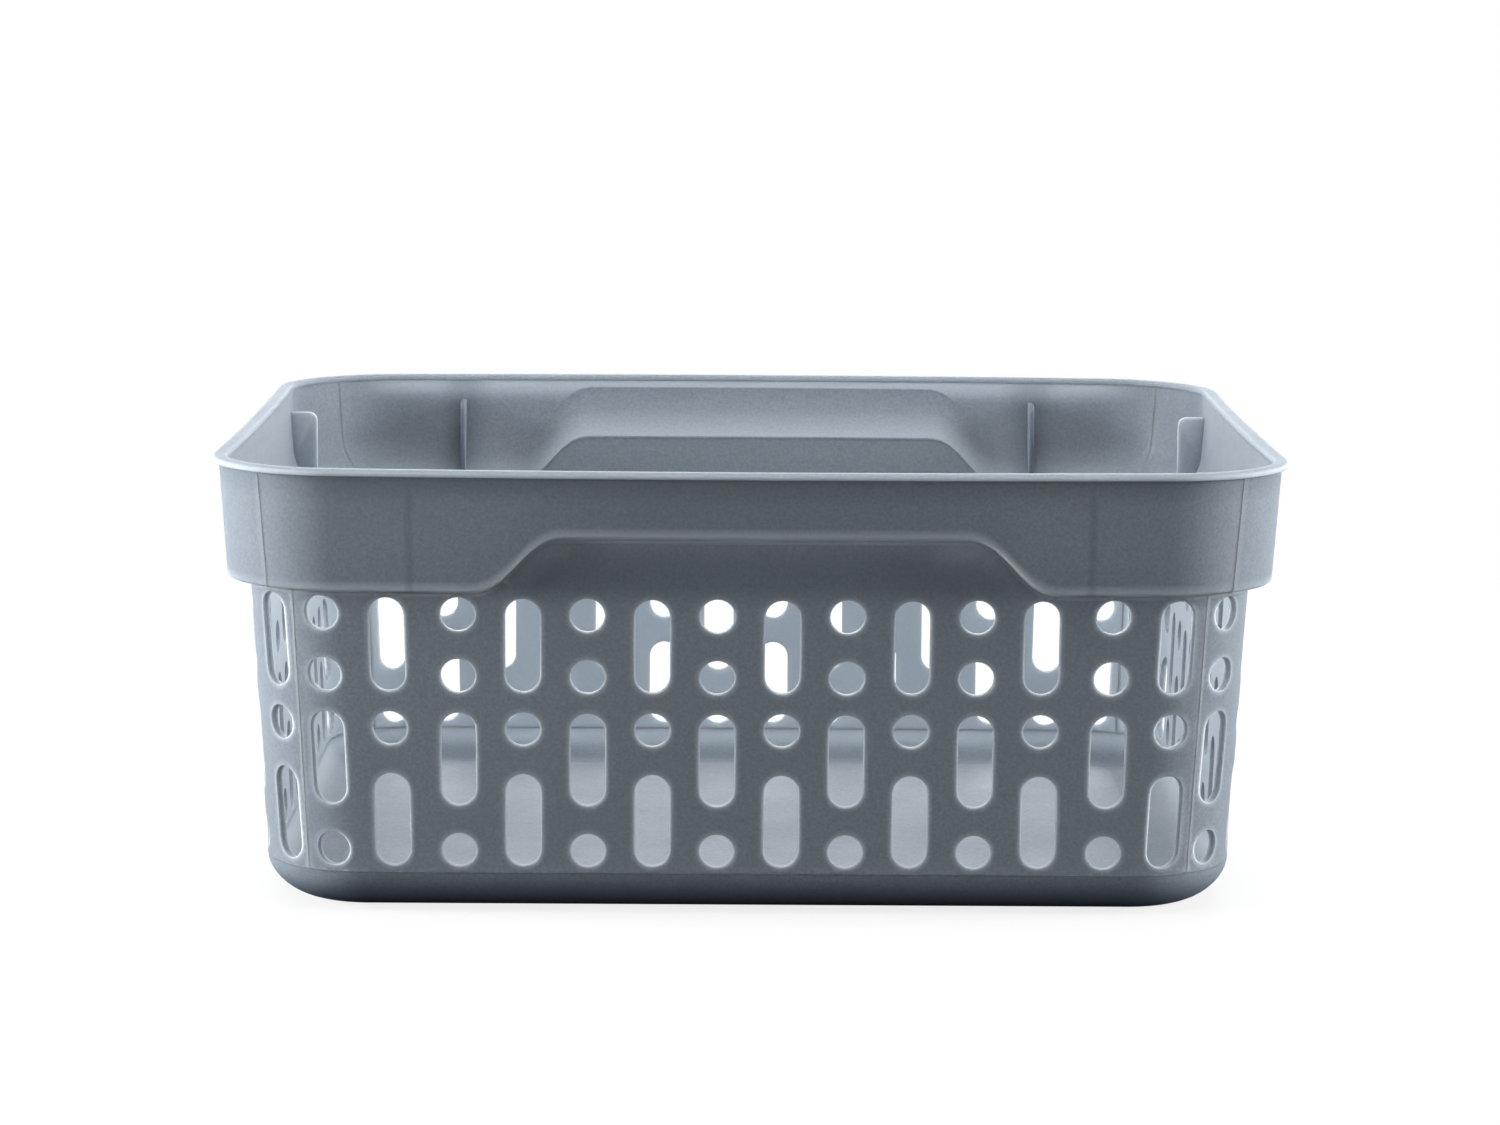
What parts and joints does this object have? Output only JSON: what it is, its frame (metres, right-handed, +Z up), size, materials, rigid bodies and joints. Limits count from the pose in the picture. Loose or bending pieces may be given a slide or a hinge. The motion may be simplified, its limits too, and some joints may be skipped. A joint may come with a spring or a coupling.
{
  "type": "cosmetic storage basket",
  "caption": "Open rectangular storage basket with tapered walls of round and slotted holes, a stepped collar with raised finger recesses and a flat lip.",
  "frame": {"origin": "centre of the footprint, on the surface the basket stands on", "axes": "+Z up, +X along the long side, -Y towards the front with a finger recess"},
  "size_m": [0.248, 0.212, 0.1045],
  "materials": {
    "shell_plastic": "fine matt texture, slightly translucent polypropylene",
    "lip_plastic": "the same polypropylene, smoother on the lip",
    "floor_plastic": "the same polypropylene, satin on the floor"
  },
  "bodies": {
    "root": {"rim_lip": "lip_plastic", "front_collar": "shell_plastic", "right_collar": "shell_plastic", "back_collar": "shell_plastic", "left_collar": "shell_plastic", "front_wall": "shell_plastic", "right_wall": "shell_plastic", "back_wall": "shell_plastic", "left_wall": "shell_plastic", "base_edge": "shell_plastic", "floor_panel": "floor_plastic", "front_stacking_rib_1": "shell_plastic", "front_stacking_rib_2": "shell_plastic", "right_stacking_rib_1": "shell_plastic", "right_stacking_rib_2": "shell_plastic", "back_stacking_rib_1": "shell_plastic", "back_stacking_rib_2": "shell_plastic", "left_stacking_rib_1": "shell_plastic", "left_stacking_rib_2": "shell_plastic"}
  },
  "joints": []
}
